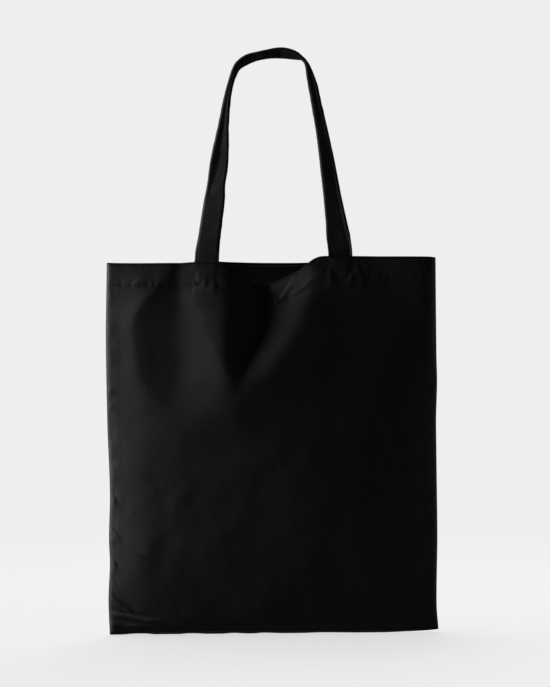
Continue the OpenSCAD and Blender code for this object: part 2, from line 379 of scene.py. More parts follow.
def hem_relief(x, e, seed):
    """The turned hem: thicker cloth, two stitched rows pulled in, and puckers just above the lower one."""
    thick = 0.7 * (1 - ease(HEM_H - 1.0, HEM_H + 1.4, e))
    rows = 0.25 * bump(e, UPPER_ROW, 1.0) + 0.5 * bump(e, LOWER_ROW, 1.2)
    patchy = 0.8 + 0.45 * noise(seed + 3, x, e, 34, 90)
    pucker = noise(seed, x, e, 3.9, 11) * (0.5 * bump(e, LOWER_ROW - 3.5, 4.5) + 0.12 * bump(e, UPPER_ROW, 3))
    slack = noise(seed + 1, x, e, 12, 34) * 0.55 * bump(e, LOWER_ROW, 13)
    return thick - rows + pucker * patchy + slack * patchy


def cloth_relief(seed, x, d):
    """The soft unevenness of handled cotton."""
    return (
        noise(seed, x, d, 48, 62)
        + 0.35 * noise(seed + 1, x + 0.3 * d, d, 19, 26)
        + 0.1 * noise(seed + 2, x - 0.4 * d, d, 8, 10)
    )


def box_relief(x, e):
    """A strap end's box of stitches pulls the cloth into a quilted square."""
    out = 0
    for side, _ in SIDES:
        across = x - side * LEG_X - LEG_SHIFT
        u = np.abs(across) - STRAP_W / 2 + EDGE_INSET
        v = np.abs(e - BOX_MIDDLE) - BOX_HALF_H
        outline = np.maximum(u, v)
        pad = 0.6 * (1 - ease(-1, 5, u)) * (1 - ease(0, 5, e - HEM_H - 6)) * ease(-2, 6, e)
        seam = 0.35 * bump(outline, 0, 2.0) * ease(2, 7, e)
        quilt = 0.5 * noise(41 + side, x, e, 5, 11) * bump(np.abs(u), 0, 8) * bump(e, 19, 15)
        out = out + pad - seam + quilt
    return out


def front_edge(x):
    """Height of the front top edge: it sinks between the handles."""
    return Z_TOP + front_lift(x)


def back_edge(x):
    """Height of the back top edge."""
    return Z_TOP + back_lift(x)


def foot(x):
    """Height of the bottom seam."""
    return Z_BOTTOM - FOOT_DROP + foot_lift(x)


def hung_shape(folds, let_go, x, d, taper, rounded):
    """A panel's folds, which pass into its belly between the depths of let_go and flatten within taper of
    the side seams."""
    low = ease(*let_go, d)
    side_gap = HALF_W - np.abs(x)
    drawn = fold_profile(folds, x, np.clip(d, 0, FOLD_DEPTH))
    return drawn * (1 - low) * ease(0, taper, side_gap) + rounded * low


def calm_edges(x, d, e, reach):
    """Fades the cloth's unevenness out towards all edges of a panel, over that reach from the top."""
    return ease(6, reach, e) * ease(2, 22, HALF_W - np.abs(x)) * ease(2, 22, BODY_H - d)


def with_details(out, creases, x, z, e, seed):
    """Adds creases, puckers, hem and strap ends to a panel's shape, and closes its seams."""
    d = Z_TOP - z
    for start, end, width, height in creases:
        out = out + crease(x, d, start, end, width, height)
    out = out + side_pucker(x, z) + bottom_pucker(x, d) + hem_relief(x, e, seed) + box_relief(x, e)
    return closed_seams(out, x, d)


def front_out(x, z):
    """How far the front panel stands out."""
    d = Z_TOP - z
    e = front_edge(x) - z
    rounded = belly(x) * front_swell(d)
    out = hung_shape(FRONT_FOLDS, FRONT_LET_GO, x, d, 5, rounded)
    relief = cloth_relief(11, x, d) * calm_edges(x, d, e, 60)
    out = out + relief * (0.35 + 0.65 * ease(150, 230, d))
    # the cloth is pushed out above and beside the lower left corner
    out = out + 3.0 * bump(x, -158, 28) * bump(d, 340, 55) + 3.0 * bump(x, -100, 45) * bump(d, 425, 18)
    return with_details(out, FRONT_CREASES, x, z, e, seed=21)


def back_out(x, z):
    """How far the back panel stands out."""
    d = Z_TOP - z
    e = back_edge(x) - z
    rounded = (belly(x) - 1) * back_swell(d)
    out = hung_shape(BACK_FOLDS, BACK_LET_GO, x, d, 6, rounded)
    out = out + (cloth_relief(71, x, d) - 1.2) * calm_edges(x, d, e, 50)
    return with_details(out, BACK_CREASES, x, z, e, seed=81)


FRONT = {"sign": -1, "edge": front_edge, "out": front_out, "name": "front"}
BACK = {"sign": 1, "edge": back_edge, "out": back_out, "name": "back"}


# ---- mesh building ----

def make_object(name, mesh, material):
    """A smooth-shaded object of that mesh, in the scene."""
    mesh.materials.append(material)
    mesh.polygons.foreach_set("use_smooth", [True] * len(mesh.polygons))
    obj = bpy.data.objects.new(name, mesh)
    bpy.context.scene.collection.objects.link(obj)
    return obj


def ring_cap(start, ring):
    """Faces that close a ring of points, which runs along one side of a strap and back along the other."""
    near = start + np.arange(ring // 2)
    far = start + ring - 1 - np.arange(ring // 2)
    return np.stack([near[:-1], near[1:], far[1:], far[:-1]], -1)


def grid_object(name, points, flat, material, tube=False, flip=False):
    """A mesh from a grid of points, rows by columns, in millimetres. flat holds the cloth's own flat
    coordinates, which its weave follows. A tube joins its last column to the first and is capped."""
    rows, cols = points.shape[:2]
    index = np.arange(rows * cols).reshape(rows, cols)
    if tube:
        index = np.concatenate([index, index[:, :1]], 1)
    around = np.stack([index[:-1, :-1], index[:-1, 1:], index[1:, 1:], index[1:, :-1]], -1).reshape(-1, 4)
    faces = [around]
    if tube:
        faces += [ring_cap(0, cols)[:, ::-1], ring_cap((rows - 1) * cols, cols)]
    quads = np.concatenate(faces)
    if flip:
        quads = quads[:, ::-1]
    mesh = bpy.data.meshes.new(name)
    mesh.from_pydata((points.reshape(-1, 3) * MM).tolist(), [], quads.tolist())
    layer = mesh.uv_layers.new(name="cloth")
    corner = np.zeros(len(mesh.loops), int)
    mesh.loops.foreach_get("vertex_index", corner)
    uvs = (flat.reshape(-1, 2) * MM)[corner].astype(np.float32)
    uvs[around.size:] = 0
    layer.data.foreach_set("uv", uvs.ravel())
    mesh.validate()
    return make_object(name, mesh, material)


def thicken(obj, thickness):
    """Turns a single surface into cloth of that thickness, half on each side."""
    solid = obj.modifiers.new("cloth thickness", "SOLIDIFY")
    solid.thickness = thickness * MM
    solid.offset = 0
    solid.use_even_offset = False
    return obj


def panel_points(panel, x, e):
    """Points on a panel at x, a distance e below its top edge."""
    z = panel["edge"](x) - e
    y = panel["sign"] * panel["out"](x, z)
    return np.stack([x + creep(x, z), y, z], -1)


# ---- materials ----

WARP_PER_METRE = 2000     # threads of the weave
WEFT_PER_METRE = 1700


def new_material(name):
    """A material, its node tree and its shader."""
    material = bpy.data.materials.new(name)
    material.use_nodes = True
    tree = material.node_tree
    return material, tree, tree.nodes["Principled BSDF"]


def math_node(tree, operation, *values):
    """The result of a sum or other operation on sockets and numbers."""
    node = tree.nodes.new("ShaderNodeMath")
    node.operation = operation
    for socket, value in zip(node.inputs, values):
        if isinstance(value, (int, float)):
            socket.default_value = value
        else:
            tree.links.new(value, socket)
    return node.outputs[0]


def weighted_sum(tree, *terms):
    """Adds up sockets, each given with its weight."""
    parts = [math_node(tree, "MULTIPLY", value, weight) for value, weight in terms]
    total = parts[0]
    for part in parts[1:]:
        total = math_node(tree, "ADD", total, part)
    return total


def noise_node(tree, coords, scale_x, scale_y, detail):
    """Noise with that many features per metre across and along the cloth."""
    stretch = tree.nodes.new("ShaderNodeVectorMath")
    stretch.operation = "MULTIPLY"
    tree.links.new(coords, stretch.inputs[0])
    stretch.inputs[1].default_value = (scale_x, scale_y, 1)
    node = tree.nodes.new("ShaderNodeTexNoise")
    node.inputs["Scale"].default_value = 1
    node.inputs["Detail"].default_value = detail
    tree.links.new(stretch.outputs[0], node.inputs["Vector"])
    return node.outputs["Fac"]


def map_range(tree, value, low, high, start=0, end=1):
    """A node that turns a value from start to end into one from low to high."""
    node = tree.nodes.new("ShaderNodeMapRange")
    for socket, setting in (("From Min", start), ("From Max", end), ("To Min", low), ("To Max", high)):
        node.inputs[socket].default_value = setting
    tree.links.new(value, node.inputs["Value"])
    return node


def tone_ramp(tree, value, colour, dark, light, start=0, end=1):
    """Goes from a darker to a lighter tone of a colour as a value goes from start to end."""
    ramp = tree.nodes.new("ShaderNodeValToRGB")
    for element, position, tone in zip(ramp.color_ramp.elements, (start, end), (dark, light)):
        element.position = position
        element.color = [c * tone for c in colour] + [1]
    tree.links.new(value, ramp.inputs["Fac"])
    return ramp.outputs["Color"]


def raise_surface(tree, shader, height, strength, distance):
    """Lets a height show as relief of up to that distance, in metres."""
    node = tree.nodes.new("ShaderNodeBump")
    node.inputs["Strength"].default_value = strength
    node.inputs["Distance"].default_value = distance
    tree.links.new(height, node.inputs["Height"])
    tree.links.new(node.outputs["Normal"], shader.inputs["Normal"])


def cloth_material(name, colour, rib=1.0, rim_shade=1.0):
    """Black woven cotton: a plain weave of fine threads, uneven ribs where thicker weft threads lie, and
    lighter fibres on what stands proud. The last argument sets painted shade on the turned top edge: how
    bright its colour, specular and sheen are against the rest, so that the edge shows less of the light it
    catches."""
    material, tree, shader = new_material(name)
    link = tree.links.new
    flat = tree.nodes.new("ShaderNodeUVMap")
    flat.uv_map = "cloth"
    coords = flat.outputs["UV"]
    parts = tree.nodes.new("ShaderNodeSeparateXYZ")
    link(coords, parts.inputs[0])
    across, along = parts.outputs["X"], parts.outputs["Y"]
    warp = math_node(tree, "SINE", math_node(tree, "MULTIPLY", across, math.pi * WARP_PER_METRE))
    weft = math_node(tree, "SINE", math_node(tree, "MULTIPLY", along, math.pi * WEFT_PER_METRE))
    weave = math_node(tree, "MULTIPLY", warp, weft)
    ribs = noise_node(tree, coords, 45, 900, 3)
    bands = noise_node(tree, coords, 70, 300, 3)
    slubs = noise_node(tree, coords, 320, 520, 2)
    patches = noise_node(tree, coords, 14, 14, 3)

    height = weighted_sum(tree, (weave, 0.35), (ribs, 1.6 * rib), (slubs, 0.8), (bands, 2.2 * rib))
    raise_surface(tree, shader, height, 0.55, 0.00018)
    shade = weighted_sum(tree, (ribs, 0.35), (patches, 0.3), (bands, 0.35))
    tone = tone_ramp(tree, shade, colour, 0.72, 1.35, 0.25, 0.75)
    # painted shade: the turned edge, which starts just below zero on the flat cloth, gets a darker colour and
    # less specular and sheen, so that it shows less of the light it catches
    rim_shade_factor = map_range(tree, along, 1, rim_shade, -0.0025, -0.0006).outputs["Result"]
    dimmed = tree.nodes.new("ShaderNodeVectorMath")
    dimmed.operation = "SCALE"
    link(tone, dimmed.inputs[0])
    link(rim_shade_factor, dimmed.inputs["Scale"])
    link(dimmed.outputs[0], shader.inputs["Base Color"])
    link(math_node(tree, "MULTIPLY", rim_shade_factor, 0.06), shader.inputs["Specular IOR Level"])
    link(math_node(tree, "MULTIPLY", rim_shade_factor, 0.01), shader.inputs["Sheen Weight"])
    rough = map_range(tree, slubs, 0.53, 0.67)
    link(rough.outputs["Result"], shader.inputs["Roughness"])
    shader.inputs["Sheen Roughness"].default_value = 0.45
    shader.inputs["Sheen Tint"].default_value = (0.9, 0.85, 0.92, 1)
    return material


def thread_material(name, colour):
    """Twisted sewing thread: fine slanting plies along each stitch."""
    material, tree, shader = new_material(name)
    coords = tree.nodes.new("ShaderNodeTexCoord")
    plies = tree.nodes.new("ShaderNodeTexWave")
    plies.inputs["Scale"].default_value = 900
    plies.inputs["Distortion"].default_value = 1.5
    plies.bands_direction = "DIAGONAL"
    tree.links.new(coords.outputs["Object"], plies.inputs["Vector"])
    tone = tone_ramp(tree, plies.outputs["Fac"], colour, 0.6, 1.4)
    tree.links.new(tone, shader.inputs["Base Color"])
    raise_surface(tree, shader, plies.outputs["Fac"], 0.5, 0.0001)
    shader.inputs["Roughness"].default_value = 0.7
    shader.inputs["Specular IOR Level"].default_value = 0.05
    return material


BODY_BLACK = (0.0062, 0.0055, 0.0063)
STRAP_BLACK = (0.0054, 0.0048, 0.0055)
THREAD_BLACK = (0.0036, 0.0032, 0.0036)
# painted shade: the body canvas's turned top edge is painted at 0.3 of its brightness, with its specular and
# sheen turned down alike
body_cloth = cloth_material("black canvas", BODY_BLACK, rim_shade=0.3)
hem_cloth = cloth_material("black canvas hem", BODY_BLACK, rib=0.8)
strap_cloth = cloth_material("black canvas strap", STRAP_BLACK, rib=0.6)
thread = thread_material("black thread", THREAD_BLACK)


# ---- panels ----

def build_panel(panel):
    """One panel, rolled over at its top edge to the inside, where the hem takes over."""
    cols = int(2 * HALF_W / PANEL_STEP)
    rows = int(BODY_H / PANEL_STEP)
    # the columns lie a little closer together at the side seams
    side = np.linspace(-1, 1, cols + 1)
    columns = HALF_W * (side + 0.012 * np.sin(math.pi * side))
    below = np.linspace(1, 0, rows + 1)
    x, f = np.meshgrid(columns, below)
    length = panel["edge"](x) - foot(x)
    e = f * (length - FOLD_R) + FOLD_R
    points = panel_points(panel, x, e)
    flat = np.stack([x, -e], -1)
    # the roll over the top edge
    inward = -panel["sign"] * FOLD_R * ease(0, 4, HALF_W - np.abs(columns))
    still = np.zeros_like(inward)
    roll = []
    for turn in np.linspace(0, math.pi, 7)[1:]:
        up = still + FOLD_R * math.sin(turn)
        roll.append(points[-1] + np.stack([still, inward * (1 - math.cos(turn)), up], -1))
    roll.append(roll[-1] + np.array([0, 0, -1.5]))
    beyond = 0.5 * np.arange(1, len(roll) + 1)
    roll_flat = np.stack(np.meshgrid(columns, beyond), -1)
    obj = grid_object(panel["name"] + "_panel_cloth", np.concatenate([points, roll]),
                      np.concatenate([flat, roll_flat]), body_cloth, flip=panel["sign"] > 0)
    return thicken(obj, CLOTH_T)


def build_hem(panel):
    """The turned hem inside a panel, with its folded lower edge."""
    reach = HALF_W - SEAM_W
    columns = np.linspace(-reach, reach, int(2 * reach / HEM_STEP))
    # the last three rows turn under at the lower edge, between hem and panel
    count = 14
    downs = np.concatenate([np.linspace(FOLD_R + 1.5, HEM_H, count), [HEM_H + 0.5, HEM_H + 0.2, HEM_H - 2]])
    insets = HEM_INSET - np.concatenate([np.zeros(count), [0.3, 0.7, 0.85]])
    x, e = np.meshgrid(columns, downs)
    points = panel_points(panel, x, e)
    points[..., 1] -= panel["sign"] * insets[:, None]
    obj = grid_object(panel["name"] + "_hem_cloth", points, np.stack([x, e], -1), hem_cloth,
                      flip=panel["sign"] < 0)
    return thicken(obj, CLOTH_T)


def build_strap_end(panel, side, label):
    """A strap's sewn end, flat against the inside of the hem and the panel below it."""
    centre = side * LEG_X + LEG_SHIFT
    low = Z_TOP - STRAP_END_LOW
    e = np.concatenate([[low + 0.4], np.linspace(low, STRAP_SPLIT, 24)])
    t = np.linspace(-1, 1, 13)
    x, down = np.meshgrid(centre + t * STRAP_W / 2, e)
    z = Z_TOP - down
    base = panel["out"](x, np.minimum(z, panel["edge"](x) - 1.0))
    over_hem = 1 - ease(HEM_H - 2, HEM_H + 4, down)
    inner = base - CLOTH_T / 2 - 0.2 - over_hem * (HEM_INSET + 0.3)
    edge = np.sqrt(np.clip(1 - np.abs(t) ** 8, 0, 1))
    outer_y = panel["sign"] * inner
    thick = panel["sign"] * STRAP_T * (0.35 + 0.65 * edge)
    near = np.stack([x, outer_y, z], -1)
    far = np.stack([x, outer_y - thick, z], -1)
    points = np.concatenate([near, far[:, ::-1]], 1)
    flat = np.stack([points[..., 0], points[..., 2]], -1)
    name = f"{panel['name']}_{label}_strap_end_cloth"
    return grid_object(name, points, flat, strap_cloth, tube=True, flip=panel["sign"] > 0)


# ---- seams inside the bag ----

def build_side_seam(side, label):
    """A side seam's allowance: two cut edges pressed together inside, a little wavy at the free edge."""
    rows = np.linspace(Z_BOTTOM + 3, Z_TOP - 3, 120)
    t = np.linspace(0, 1, 9)
    z, across = np.meshgrid(rows, t, indexing="ij")
    start = 1.4           # from the side seam
    x = side * (HALF_W - start - across * (SEAM_W - start))
    y = 0.9 * across * noise(91 + side, x, z, 40, 24)
    points = np.stack([x + creep(x, z), y, z], -1)
    obj = grid_object(label + "_side_seam_cloth", points, np.stack([z, x], -1), hem_cloth)
    return thicken(obj, ALLOWANCE_T)


def build_bottom_seam():
    """The bottom seam's allowance, the same way."""
    reach = HALF_W - SEAM_W - 2
    columns = np.linspace(-reach, reach, 120)
    t = np.linspace(0, 1, 7)
    x, up = np.meshgrid(columns, t)
    z = foot(x) + ALLOWANCE_T + up * (SEAM_W - ALLOWANCE_T)
    y = 0.8 * up * noise(97, x, z, 26, 40)
    obj = grid_object("bottom_seam_cloth", np.stack([x, y, z], -1), np.stack([x, z], -1), hem_cloth)
    return thicken(obj, ALLOWANCE_T)


# ---- thread ----

def stitch_mesh(name, starts, ends, normals, radius=STITCH_R):
    """One small rounded stitch from each start to each end, bowed out along its normal."""
    sides, rings = 6, 5
    a = np.asarray(starts, float)
    b = np.asarray(ends, float)
    n = unit(np.asarray(normals, float))
    along = b - a
    across = unit(np.cross(along, n))
    verts = []
    for s in np.linspace(0, 1, rings):
        lift = math.sin(math.pi * s)
        size = radius * (0.45 + 0.55 * lift)
        middle = a + along * s + n * (radius * (1.2 * lift - 0.9))
        for k in range(sides):
            angle = 2 * math.pi * k / sides
            verts.append(middle + size * (math.cos(angle) * n + math.sin(angle) * across))
    verts = np.stack(verts, 1)
    faces = []
    for r in range(rings - 1):
        for k in range(sides):
            j = (k + 1) % sides
            faces.append([r * sides + k, r * sides + j, (r + 1) * sides + j, (r + 1) * sides + k])
    caps = [list(range(sides))[::-1], list(range((rings - 1) * sides, rings * sides))]
    count = len(a)
    step = rings * sides
    all_faces = [[i * step + v for v in f] for i in range(count) for f in faces + caps]
    mesh = bpy.data.meshes.new(name)
    mesh.from_pydata((verts.reshape(-1, 3) * MM).tolist(), [], all_faces)
    return make_object(name, mesh, thread)


def line_stitches(route):
    """Splits a smooth route of points, each with its normal, into stitches."""
    points, normals = route
    steps = np.linalg.norm(np.diff(points, axis=0), axis=1)
    s = np.concatenate([[0], np.cumsum(steps)])
    starts = np.arange(0.4, s[-1] - STITCH_L, STITCH_PITCH)

    def at(values, where):
        return np.stack([np.interp(where, s, values[:, k]) for k in range(3)], 1)

    return at(points, starts), at(points, starts + STITCH_L), at(normals, starts + STITCH_L / 2)


def join_lines(lines):
    """The stitches of all those routes as one set of starts, ends and normals."""
    made = [line_stitches(line) for line in lines]
    return [np.concatenate(part) for part in zip(*made)]


def panel_route(panel, x, e):
    """Points on the outer face of a panel along a line of x and e, with normals."""
    def at(dx, de):
        return panel_points(panel, x + dx, e + de)

    here = at(0, 0)
    normal = unit(np.cross(at(0.5, 0) - here, at(0, -0.5) - here))
    normal *= np.sign(normal[:, 1:2]) * panel["sign"]
    return here + normal * (CLOTH_T / 2), normal


def build_hem_stitching(panel):
    """Both rows of stitches along a hem."""
    reach = HALF_W - 4
    x = np.arange(-reach, reach, 1.6)
    lines = [panel_route(panel, x, np.full_like(x, row)) for row in (UPPER_ROW, LOWER_ROW)]
    return stitch_mesh(panel["name"] + "_hem_stitching_thread", *join_lines(lines))


def build_box_stitch(panel, side, label):
    """A square with a cross in it."""
    w = STRAP_W / 2 - EDGE_INSET
    top, low = BOX_MIDDLE - BOX_HALF_H, BOX_MIDDLE + BOX_HALF_H
    top_left, top_right = np.array((-w, top)), np.array((w, top))
    low_left, low_right = np.array((-w, low)), np.array((w, low))
    square = [(top_left, top_right), (top_right, low_right), (low_right, low_left), (low_left, top_left)]
    cross = [(top_left, low_right), (top_right, low_left)]
    t = np.linspace(0, 1, 16)[:, None]
    lines = []
    for start, end in square + cross:
        p = start + (end - start) * t
        lines.append(panel_route(panel, side * LEG_X + LEG_SHIFT + p[:, 0], p[:, 1]))
    return stitch_mesh(f"{panel['name']}_{label}_box_stitch_thread", *join_lines(lines))


def build_overlock(name, start, end, outward):
    """Loops of thread bound over a cut edge from start to end. outward points off the edge."""
    start, end, outward = (np.array(v, float) for v in (start, end, outward))
    count = int(np.linalg.norm(end - start) / OVERLOCK_PITCH)
    t = (np.arange(count) + 0.5) / count
    middle = start + (end - start) * t[:, None]
    step = (end - start) / count
    made = []
    for face in (-1, 1):
        y = np.array([0, face * OVERLOCK_OUT, 0])
        # a slanting stitch over this face to the edge, and one along the edge
        made.append((middle - outward * OVERLOCK_REACH + y, middle + outward * 0.2 + y * 0.6 + step * 0.45,
                     np.tile(np.array([0.0, face, 0]), (count, 1))))
        on_edge = middle + outward * 0.3 + y * 0.6
        made.append((on_edge, on_edge + step * 0.9, np.tile(outward, (count, 1))))
    return stitch_mesh(name, *[np.concatenate(part) for part in zip(*made)], radius=OVERLOCK_R)


# ---- handles ----

TUCK_TURN = 98            # a strap's narrowed edges are turned back by this angle
TUCK_BEND = 1.6           # half the width of that bend, and of the crease's
CREASE_BEND = 1.4


def spline(stations, spacing):
    """A smooth run of values through stations, spaced evenly along the path of their first three values."""
    p = np.array(stations, float)
    gaps = np.linalg.norm(np.diff(p[:, :3], axis=0), axis=1)
    s = np.concatenate([[0], np.cumsum(gaps)])
    slope = np.gradient(p, s, axis=0)
    where = np.linspace(0, s[-1], int(s[-1] / spacing) + 1)
    i = np.clip(np.searchsorted(s, where, side="right") - 1, 0, len(gaps) - 1)
    t = ((where - s[i]) / gaps[i])[:, None]
    return cubic(t, gaps[i][:, None], p[i], p[i + 1], slope[i], slope[i + 1])


def running_sum(values, step):
    """Adds values up along each row, from 0, with that step between them."""
    start = np.zeros((len(values), 1))
    return np.concatenate([start, np.cumsum((values[:, 1:] + values[:, :-1]) / 2, 1)], 1) * step


def centred(values):
    """Each row moved so that its lowest and highest values lie as far below 0 as above."""
    return values - (values.max(1, keepdims=True) + values.min(1, keepdims=True)) / 2


def strap_surface(stations, spacing, toward):
    """The middle surface of a strap that is creased along its length: grids of points and normals, and the
    distances along and across. A station is x, y, z, then the width of the part outside the crease, the
    angles by which the parts outside and inside it turn up from flat, and the width tucked back behind at
    each edge. toward is -1 if the strap turns up to the front and 1 if to the back."""
    p = spline(stations, spacing)
    centre = p[:, :3]
    along = unit(np.gradient(centre, axis=0))
    inward = unit(np.stack([along[:, 2], np.zeros(len(p)), -along[:, 0]], 1))
    t = np.linspace(0, STRAP_W, 41)
    outer_w, tucked = p[:, 3:4], np.maximum(p[:, 6:7], 0)
    outer, inner = np.radians(p[:, 4:5]), np.radians(p[:, 5:6])
    back = math.radians(TUCK_TURN) * ease(0.3, 2.5, tucked)
    first = ease(-TUCK_BEND, TUCK_BEND, t[None] - tucked)
    past = ease(-CREASE_BEND, CREASE_BEND, t[None] - tucked - outer_w)
    last = ease(-TUCK_BEND, TUCK_BEND, t[None] - STRAP_W + tucked)
    angle = back * (1 - first) + (inner * past - outer * (1 - past)) * first * (1 - last) - back * last
    step = t[1] - t[0]
    across = centred(running_sum(np.cos(angle), step))
    raised = centred(running_sum(np.sin(angle), step))
    depth = np.array([0, toward, 0])
    points = centre[:, None] + inward[:, None] * across[..., None] + depth * raised[..., None]
    normal = unit(np.cross(np.gradient(points, axis=0), np.gradient(points, axis=1)))
    run = np.concatenate([[0], np.cumsum(np.linalg.norm(np.diff(centre, axis=0), axis=1))])
    return points, normal, run, t


def build_strap(name, surface):
    """A strap of folded canvas: rounded edges, a stitched channel near each, faint cross ripples."""
    points, normal, run, t = surface
    edge = np.sqrt(np.clip(1 - np.abs(2 * t / STRAP_W - 1) ** 12, 0, 1))
    channels = bump(t, EDGE_INSET, 0.8) + bump(t, STRAP_W - EDGE_INSET, 0.8)
    half = STRAP_T / 2 * (0.25 + 0.75 * edge) * (1 - 0.3 * channels)
    s, across = np.meshgrid(run, t, indexing="ij")
    ripple = 0.22 * noise(61, s, across, 7, 12) + 0.3 * noise(62, s, across, 24, 16)
    middle = points + normal * ripple[..., None]
    near = middle + normal * half[None, :, None]
    far = middle - normal * half[None, :, None]
    both = np.concatenate([near, far[:, ::-1]], 1)
    flat = np.concatenate([np.stack([across, s], -1), np.stack([across + 40, s], -1)[:, ::-1]], 1)
    return grid_object(name, both, flat, strap_cloth, tube=True)


def build_strap_stitching(name, surface):
    """A row of stitches along both edges of a strap, on both of its faces."""
    points, normal, _, t = surface
    lines = []
    for inset in (EDGE_INSET, STRAP_W - EDGE_INSET):
        column = int(round(inset / (t[1] - t[0])))
        for face in (-1, 1):
            n = face * normal[:, column]
            lines.append((points[:, column] + n * (STRAP_T / 2 * 0.72), n))
    return stitch_mesh(name, *join_lines(lines))


# The front handle as it is held: x and z of the strap's middle, and how wide its parts outside and inside
# the crease look from the front.
FRONT_LOOP = [
    (-73.4, -235, 0.5, 26.6),
    (-73.1, -226, 0.5, 25.3),
    (-71, -208, 0.6, 23.3),
    (-63.8, -158, 2.6, 19),
    (-62.2, -144, 5, 15.1),
    (-59, -122, 9.2, 11.2),
    (-56.3, -102, 8.6, 9.6),
    (-53.6, -81, 6.8, 6.4),
    (-44, -26, 3.9, 2.9),
    (-41.4, -18, 4, 2.6),
    (-34.6, -6, 5, 3.8),
    (-27.5, -1.2, 5.3, 5.2),
    (-9, 4.7, 4.9, 4.8),
    (20, 6.8, 6.3, 5.4),
    (32.5, 3.4, 3.7, 4.1),
    (37, 1.4, 1.7, 3),
    (40.3, -0.6, 1, 1.7),
    (42.6, -4.4, 1.2, 3),
    (48.2, -22, 3, 6.4),
    (55, -55, 2.6, 8.6),
    (65.5, -113, 2.2, 14),
    (71.7, -158, 2.5, 16.9),
    (76.8, -195, 2.5, 20.9),
    (80.3, -226, 2.3, 26.2),
    (80.3, -235, 2.3, 27),
]

# How far those parts turn up from flat, by x, in degrees.
outer_turn = through((-50, 3), (-30, 13), (30, 13), (42, 18), (60, 34))
inner_turn = through((-70, 6), (-62, 11), (-56, 15), (-52, 22), (-42, 24), (-30, 12), (30, 12), (45, 5),
                     (60, 1))


def inside_y(panel, x):
    """How far out the middle of a strap lies where it leaves a panel's hem."""
    cloth = float(panel["out"](np.array(x), np.array(Z_TOP - 8.0)))
    return cloth - CLOTH_T / 2 - HEM_INSET - STRAP_T / 2 - 0.6


def standing_loop():
    """Stations of the front handle, with each part's own width. At its feet it comes in behind the hem."""
    stations = []
    for x, z, outer_seen, inner_seen in FRONT_LOOP:
        # where the strap looks narrow its edges are tucked back, and their roundness takes some width
        folded = float(ease(22, 18, outer_seen + inner_seen))
        outer_w = max(0.3, outer_seen - 0.9 * folded) / math.cos(math.radians(outer_turn(x)))
        inner_w = max(0.3, inner_seen - folded) / math.cos(math.radians(inner_turn(x)))
        tucked = (STRAP_W - outer_w - inner_w) / 2
        y = -inside_y(FRONT, x) * float(1 - ease(Z_TOP + 2, Z_TOP + 60, z))
        stations.append((x, y, z, outer_w, outer_turn(x), inner_turn(x), tucked))
    return stations


def hanging_loop():
    """Stations of the back handle: over the back top edge, then down behind the bag in a U."""
    y_in = inside_y(BACK, -LEG_X + LEG_SHIFT)
    y_out = max(HANG_NEAR + 1.2, y_in + 2 * STRAP_T + 2 * HEM_INSET + 2.0)
    far = HANG_FAR - 15
    low = HANG_LOW + 2
    half = [
        (-LEG_X, y_in, Z_TOP - 2, 14, 0, 0, 0),
        (-LEG_X, y_in + 0.6, Z_TOP + 1.6, 14, 0, 0, 0),
        (-LEG_X, (y_in + y_out) / 2, Z_TOP + 3.6, 14, 0, 0, 0),
        (-LEG_X, y_out - 0.4, Z_TOP + 1.2, 14, 0, 0, 0),
        (-LEG_X + 0.3, y_out + 1.5, Z_TOP - 8, 14, 0, 0, 0),
        (-LEG_X + 2, y_out + 4, Z_TOP - 45, 14, 6, 9, 0),
        (-LEG_X + 8, y_out + 8, Z_TOP - 110, 12, 18, 24, 0.4),
        (-LEG_X + 20, far - 4, Z_TOP - 175, 11, 26, 30, 2),
        (-40, far, Z_TOP - 226, 10.5, 32, 36, 3.5),
    ]
    bottom = [(0, far, low, 10, 34, 36, 4)]
    loop = half + bottom + [(-p[0],) + p[1:] for p in half[::-1]]
    return [(p[0] + LEG_SHIFT,) + p[1:] for p in loop]


# ---- putting it together ----

def place(piece, body, slot, *nodes):
    """Puts a piece on its body and hides the CAD nodes it stands for. slot, the slot of its finish, is not
    used.
    """
    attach(piece, body)
    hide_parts(*nodes)
    return piece


for panel in (FRONT, BACK):
    side_name = panel["name"]
    cloth = place(build_panel(panel), "bag", "body_canvas", side_name + "_panel")
    hem = place(build_hem(panel), "bag", "hem_canvas", side_name + "_hem")
    hem_thread = place(build_hem_stitching(panel), "bag", "thread", side_name + "_hem_stitching")
    for side, label in SIDES:
        end_name = f"{side_name}_{label}_strap_end"
        place(build_strap_end(panel, side, label), "bag", "strap_canvas", end_name)
        box_name = f"{side_name}_{label}_box_stitch"
        place(build_box_stitch(panel, side, label), "bag", "thread", box_name)

for side, label in SIDES:
    place(build_side_seam(side, label), "bag", "hem_canvas", label + "_side_seam")
    edge_x = side * (HALF_W - SEAM_W)
    place(build_overlock(label + "_seam_overlock_thread", (edge_x, 0, Z_BOTTOM + SEAM_W + 3),
                         (edge_x, 0, Z_TOP - HEM_H - 3), (-side, 0, 0)),
          "bag", "thread", label + "_seam_overlock")
place(build_bottom_seam(), "bag", "hem_canvas", "bottom_seam")
bottom_reach = HALF_W - SEAM_W - 3
place(build_overlock("bottom_seam_overlock_thread", (-bottom_reach, 0, Z_BOTTOM + SEAM_W),
                     (bottom_reach, 0, Z_BOTTOM + SEAM_W), (0, 0, 1)),
      "bag", "thread", "bottom_seam_overlock")

front_surface = strap_surface(standing_loop(), STRAP_STEP, -1)
back_surface = strap_surface(hanging_loop(), STRAP_STEP, 1)


def place_handle(piece, node):
    """Hides the CAD node that a piece of a handle stands for, and bakes the piece's placement into its mesh.
    """
    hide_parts(node)
    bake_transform(piece)


